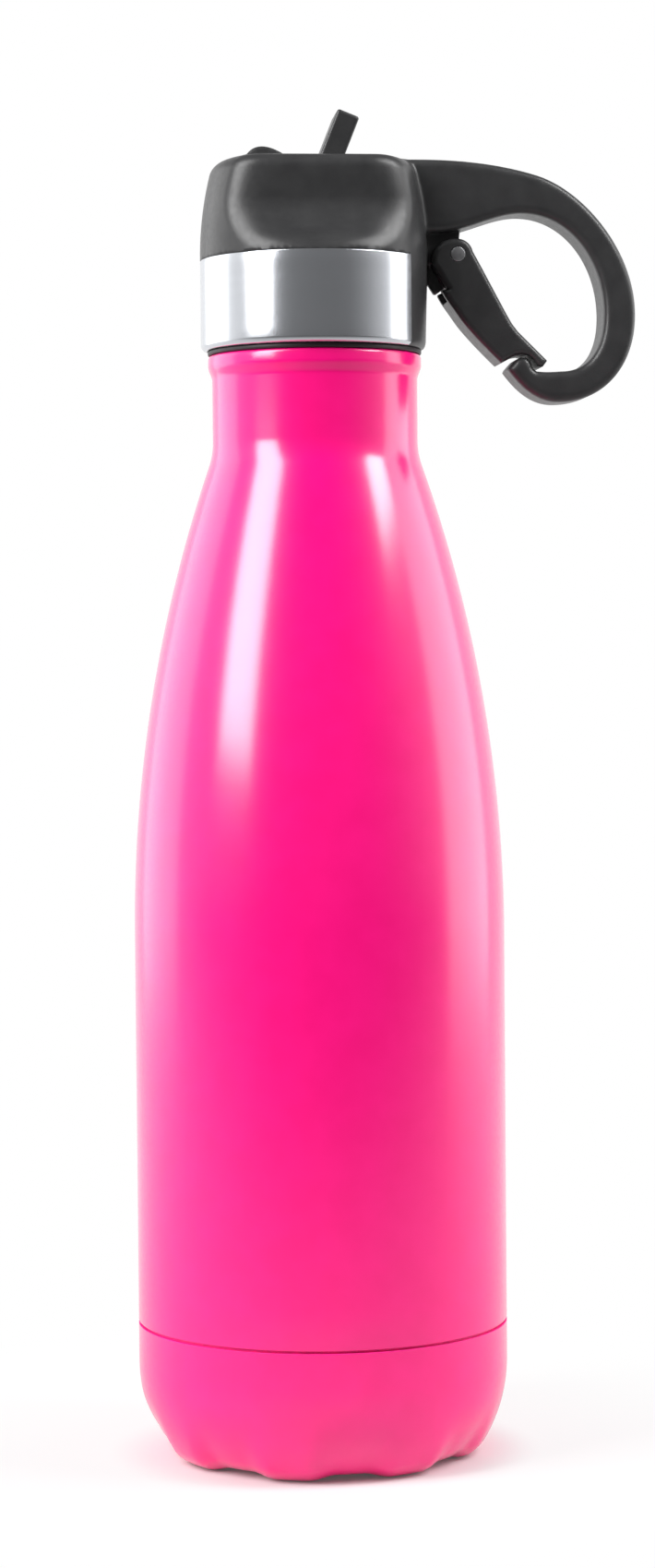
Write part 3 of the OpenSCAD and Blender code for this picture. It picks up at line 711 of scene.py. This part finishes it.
def cap_field(x, y, z):
    """The whole moulding: dome, skirt, handle, guards and the gate's bracket, less its hollows."""
    r_gate = np.hypot(x - GATE[0], z - GATE[2])
    dome = union(both(dome_field(x, y, z), BAND_TOP - z), skirt_field(x, y, z))
    handle = both(HANDLE(x, z), np.abs(y) - GATE_HALF, 1.5)
    shape = union(dome, handle, 0.7)
    guards = both(both(hump_field(x, z), np.abs(np.abs(y) - WELL_HALF - 1.5) - 1.5, 0.5), LID_TOP - 2 - z)
    shape = union(shape, guards, 0.4)
    shape = cut(shape, hollow_field(x, y, z))
    tongue = both(union(TONGUE(x, z), r_gate - HEAD_R), np.abs(y) - 3, 0.3)
    web = both(WEB(x, z), np.abs(y) - 1)
    shape = union(shape, union(tongue, web), 0.3)
    return cut(shape, openings_field(x, y, z), 0.35)


def hump_field(x, z):
    """The guard's side view: a short steep front and a long slope."""
    t = (x - GUARD_X) / GUARD_REACH
    crest = GUARD_H * np.clip(1 - t * t, 0, 1) ** 0.8 * (1 - 0.35 * t)
    return np.maximum((z - LID_TOP - crest) * 0.85, np.abs(x - GUARD_X) - GUARD_REACH - 0.5)


def openings_field(x, y, z):
    """The spout's well, the bores for its pins and seat, and the gate's bore with the spring's room."""
    from_pivot = np.hypot(x - SPOUT[0], z - SPOUT[2])
    floor = np.maximum(np.maximum(WELL_LEFT - x, x - SPOUT[0]), WELL_FLOOR - z)
    above = np.maximum(np.maximum(SPOUT[0] - 0.01 - x, x - WELL_RIGHT), SPOUT[2] - z)
    scoop = np.hypot(x - WELL_LEFT + 1.2, z - LID_TOP - 1.6) - SCOOP_R
    side = union(union(floor, above), union(from_pivot - DRUM_ROOM, scoop))
    well = both(side, np.abs(y) - WELL_HALF, 0.4)
    seat = np.maximum(np.hypot(x - SPOUT[0] + 0.3, y) - SEAT_R, np.abs(z - WELL_FLOOR + 2.5) - 3.5)
    pins = np.maximum(from_pivot - 0.95, np.abs(y) - WELL_HALF - 1.8)
    r_gate = np.hypot(x - GATE[0], z - GATE[2])
    bore = np.maximum(r_gate - PIN_R - 0.05, np.abs(y) - 4)
    coil = np.maximum(r_gate - COIL_R, np.abs(y) - 1.5)
    return union(union(union(well, seat), pins), union(bore, coil))


def make_cap():
    """The lid's moulding with its handle."""
    cap = mesh_field("cap_moulding", cap_field, (-LID_R - 1, -LID_R - 1, HANDLE_LOW - 1),
                     (HANDLE_X + 1, LID_R + 1, LID_TOP + 3), 0.44, BLACK)
    sharpen(cap, 50)
    attach(cap, "lid", "cap_shell")


GATE_SIDE = outline(GATE[[0, 2]] + np.concatenate([
    arc(0, 0, HEAD_R, 95, 12, 12),
    [[4.7, -2.6], [7.05, -7], [9.4, -11.4], [10.4, -13.15], [11.5, -14.6], [17.1, -20.15], [16.25, -21.3],
     [15.2, -21.2], [14.6, -20.2], [13.6, -19.2], [12.2, -18.9], [11, -19.1], [8.2, -20.6]],
    curve((8.2, -20.6), (5.5, -18), (1.8, -14.2), (0.3, -12), (-1.1, -9.9), (-2.4, -8.4), (-3, -6.9))[1:],
    [[-2, -6.5], [-2.7, -5.4], [-3.7, -3.6], [-4.9, -1.9], [-4.95, -0.4], [-4.3, 1.2], [-3, 2.4],
     [-1.5, 2.9]],
]))


def gate_field(x, y, z):
    """The gate's arm, with the pocket between its cheeks and the pin's hole."""
    r = np.hypot(x - GATE[0], z - GATE[2])
    arm = both(GATE_SIDE(x, z), np.abs(y) - GATE_HALF, 1.1)
    pocket = np.maximum(r - 8.9, np.abs(y) - 3.3)
    return cut(cut(arm, pocket, 0.2), r - PIN_R)


def make_gate():
    """The moulding that closes the hook."""
    low, high = corners("gate")
    gate = mesh_field("gate_moulding", gate_field, low - 0.8, high + 0.8, 0.27, BLACK)
    sharpen(gate, 50)
    attach(gate, "gate", "gate")


LEAN = math.radians(22)
DRUM_R = 2.5
BLADE_HALF = 2.2
BLADE_LEN = 12
FLOW_R = 0.9
FLOW_HALF = 2.3


def spout_field(x, y, z):
    """The raised spout: drum, flat mouthpiece, flow slot and the pins' holes."""
    dx, dz = x - SPOUT[0], z - SPOUT[2]
    u = dx * math.cos(LEAN) - dz * math.sin(LEAN)
    w = dx * math.sin(LEAN) + dz * math.cos(LEAN)
    drum = both(np.hypot(u, w) - DRUM_R, np.abs(y) - SPOUT_HALF, 0.3)
    blade = both(both(np.abs(u) - BLADE_HALF, w - BLADE_LEN, 0.5), np.abs(y) - SPOUT_HALF, 0.6)
    blade = both(blade, -w)
    flow = np.hypot(u, np.maximum(np.abs(y) - FLOW_HALF, 0)) - FLOW_R
    pins = np.maximum(np.hypot(u, w) - 0.9, 3.8 - np.abs(y))
    return cut(cut(union(drum, blade, 0.3), flow, 0.3), pins)


def make_spout():
    """The moulding that flips up to drink."""
    low, high = corners("spout")
    spout = mesh_field("spout_moulding", spout_field, low - 0.8, high + 0.8, 0.2, BLACK)
    sharpen(spout, 50)
    attach(spout, "spout", "spout")


def make_pin():
    """The rivet: a shank with slightly crowned ends."""
    end = corners("gate_pin")[1][1]
    edge = 0.25
    side = arc(PIN_R - edge, end - edge, edge, 0, 75, 4)
    profile = np.concatenate([[[0.001, -end]], (side * [1, -1])[::-1], side, [[0.001, end]]])
    pin = lathe("rivet", profile, PIN_STEEL, 64)
    pin.data.transform(Matrix.Translation(Vector(GATE * MM)) @ Matrix.Rotation(math.pi / 2, 4, "X"))
    attach(pin, "gate", "gate_pin")


def dress_nodes():
    """Materials for the CAD nodes that stay."""
    chosen = {
        "base_plate": DISC_STEEL, "vacuum_bead": SEAL, "getter": GETTER, "inner_flask": FLASK_STEEL,
        "copper_wrap": COPPER, "stopper": BLACK, "vent_valve": CLEAR, "straw": STRAW,
        "spout_seat": RUBBER, "spout_pins": PIN_STEEL, "gate_spring": SPRING_STEEL,
    }
    for node, material in chosen.items():
        mesh = frame["nodes"][node].data
        mesh.materials.clear()
        mesh.materials.append(material)


# ---- Studio: places in millimetres, lamps in metres ----

CAMERA_DISTANCE = 671
CAMERA_HEIGHT = 155
CAMERA_YAW = math.radians(5)
CAMERA_PITCH = math.radians(2.26)
CAMERA_ROLL = math.radians(0.5)
CAMERA_SIDE = -1.77
CAMERA_LENS = 80.3
LAMP_DISTANCE = 0.9
LAMP_AIM = Vector((0, 0, 0.15))
FLOOR_HALF = 3


def math_node(tree, operation, first, second):
    """One operation on two sockets or numbers."""
    node = tree.nodes.new("ShaderNodeMath")
    node.operation = operation
    for socket, value in zip(node.inputs, (first, second)):
        if isinstance(value, (int, float)):
            socket.default_value = value
        else:
            tree.links.new(value, socket)
    return node.outputs[0]


def frontward(tree, place):
    """How far a place or a direction lies towards the front of the bottle."""
    node = tree.nodes.new("ShaderNodeVectorMath")
    node.operation = "DOT_PRODUCT"
    node.inputs[1].default_value = (-math.sin(CAMERA_YAW), -math.cos(CAMERA_YAW), 0)
    tree.links.new(place, node.inputs[0])
    return node.outputs["Value"]


def mixed(tree, out, share, first, second):
    """Sends a mix of two shaders to the output."""
    mix = tree.nodes.new("ShaderNodeMixShader")
    tree.links.new(share, mix.inputs["Fac"])
    tree.links.new(first.outputs[0], mix.inputs[1])
    tree.links.new(second.outputs[0], mix.inputs[2])
    tree.links.new(mix.outputs[0], out.inputs["Surface"])


def paper_floor():
    """White paper that keeps the bottle's shadow, is pure white further out and darkens in front."""
    material = bpy.data.materials.new("paper_floor")
    material.use_nodes = True
    tree = material.node_tree
    tree.nodes.clear()
    out = tree.nodes.new("ShaderNodeOutputMaterial")
    paper = tree.nodes.new("ShaderNodeBsdfDiffuse")
    white = tree.nodes.new("ShaderNodeEmission")
    ray = tree.nodes.new("ShaderNodeLightPath").outputs
    place = tree.nodes.new("ShaderNodeTexCoord").outputs["Object"]
    reach = tree.nodes.new("ShaderNodeVectorMath")
    reach.operation = "LENGTH"
    tree.links.new(place, reach.inputs[0])
    foot = BODY_R * MM
    near = map_range(tree, reach.outputs["Value"], 0.82 * foot, 1.2 * foot, 0.06, 0.8)
    beyond = map_range(tree, reach.outputs["Value"], 1.2 * foot, 3.5 * foot, 0.0, 0.2)
    front = map_range(tree, frontward(tree, place), -0.35, 0.7, 0.0, 0.97)
    mirrored = math_node(tree, "MAXIMUM", ray["Is Glossy Ray"], ray["Is Transmission Ray"])
    seen = math_node(tree, "MAXIMUM", ray["Is Camera Ray"], mirrored)
    shown = math_node(tree, "SUBTRACT", 1.0, math_node(tree, "MULTIPLY", front, mirrored))
    tree.links.new(shown, white.inputs["Strength"])
    tree.links.new(map_range(tree, front, 0.0, 1.0, 0.86, 0.04), paper.inputs["Color"])
    white.inputs["Color"].default_value = (1, 1, 1, 1)
    share = math_node(tree, "MULTIPLY", math_node(tree, "ADD", near, beyond), seen)
    mixed(tree, out, share, paper, white)
    corner = FLOOR_HALF / MM
    floor = make_object("floor", [(-corner, -corner, 0), (corner, -corner, 0), (corner, corner, 0),
                                  (-corner, corner, 0)], [(0, 1, 2, 3)], material)


def studio_world():
    """White to the camera; to the bottle, white behind and beside it and dark towards the front."""
    world = bpy.data.worlds.new("studio")
    bpy.context.scene.world = world
    world.use_nodes = True
    tree = world.node_tree
    tree.nodes.clear()
    out = tree.nodes.new("ShaderNodeOutputWorld")
    room = tree.nodes.new("ShaderNodeBackground")
    white = tree.nodes.new("ShaderNodeBackground")
    ray = tree.nodes.new("ShaderNodeLightPath").outputs
    way = tree.nodes.new("ShaderNodeTexCoord").outputs["Generated"]
    split = tree.nodes.new("ShaderNodeSeparateXYZ")
    tree.links.new(way, split.inputs[0])
    walls = map_range(tree, frontward(tree, way), -0.25, 0.9, 1.0, 0.1)
    ceiling = map_range(tree, split.outputs["Z"], 0.3, 0.85, 1.0, 0.15)
    tree.links.new(math_node(tree, "MULTIPLY", walls, ceiling), room.inputs["Strength"])
    for background in (room, white):
        background.inputs["Color"].default_value = (1, 1, 1, 1)
    share = math_node(tree, "MAXIMUM", ray["Is Camera Ray"], ray["Is Transmission Ray"])
    mixed(tree, out, share, room, white)


def softbox(name, turn, height, size, watts):
    """A soft lamp: degrees right of the camera's side, degrees up, and its size in metres."""
    around, up = CAMERA_YAW - math.radians(turn), math.radians(height)
    away = Vector((-math.sin(around) * math.cos(up), -math.cos(around) * math.cos(up), math.sin(up)))
    data = bpy.data.lights.new(name, "AREA")
    data.shape = "RECTANGLE"
    data.size, data.size_y = size
    data.energy = watts
    lamp = bpy.data.objects.new(name, data)
    lamp.location = LAMP_AIM + LAMP_DISTANCE * away
    lamp.visible_camera = False
    lamp.rotation_mode = "QUATERNION"
    lamp.rotation_quaternion = (-away).to_track_quat("-Z", "Y")
    bpy.context.scene.collection.objects.link(lamp)


def lights():
    """Two high lamps in front of the sides and two low ones just behind them."""
    softbox("left_box", -56, 34, (0.4, 0.8), 12)
    softbox("right_box", 74, 45, (0.3, 0.5), 6.5)
    softbox("left_rim", -118, 6, (0.7, 0.9), 2.5)
    softbox("right_rim", 106, 6, (0.7, 0.9), 4)


def camera():
    """The main view: a long lens, a little left of the front and slightly above the middle."""
    flat = np.array([math.sin(CAMERA_YAW), math.cos(CAMERA_YAW), 0])
    right = np.array([math.cos(CAMERA_YAW), -math.sin(CAMERA_YAW), 0])
    forward = flat * math.cos(CAMERA_PITCH) - np.array([0, 0, math.sin(CAMERA_PITCH)])
    up = np.cross(right, forward)
    place = -CAMERA_DISTANCE * flat - CAMERA_SIDE * right + np.array([0, 0, CAMERA_HEIGHT])
    tilted = right * math.cos(CAMERA_ROLL) - up * math.sin(CAMERA_ROLL)
    upright = right * math.sin(CAMERA_ROLL) + up * math.cos(CAMERA_ROLL)
    data = bpy.data.cameras.new("camera")
    data.lens = CAMERA_LENS
    data.sensor_width = 36
    data.clip_start, data.clip_end = 0.01, 20
    view = bpy.data.objects.new("camera", data)
    turn = Matrix((tilted, upright, -forward)).transposed()
    view.matrix_world = Matrix.Translation(Vector(place * MM)) @ turn.to_4x4()
    bpy.context.scene.collection.objects.link(view)
    bpy.context.scene.camera = view
    bpy.context.scene.view_settings.view_transform = "Standard"


camera()
paper_floor()
studio_world()
lights()
make_shell()
make_cup()
make_gasket()
make_band()
make_cap()
make_gate()
make_spout()
make_pin()
dress_nodes()
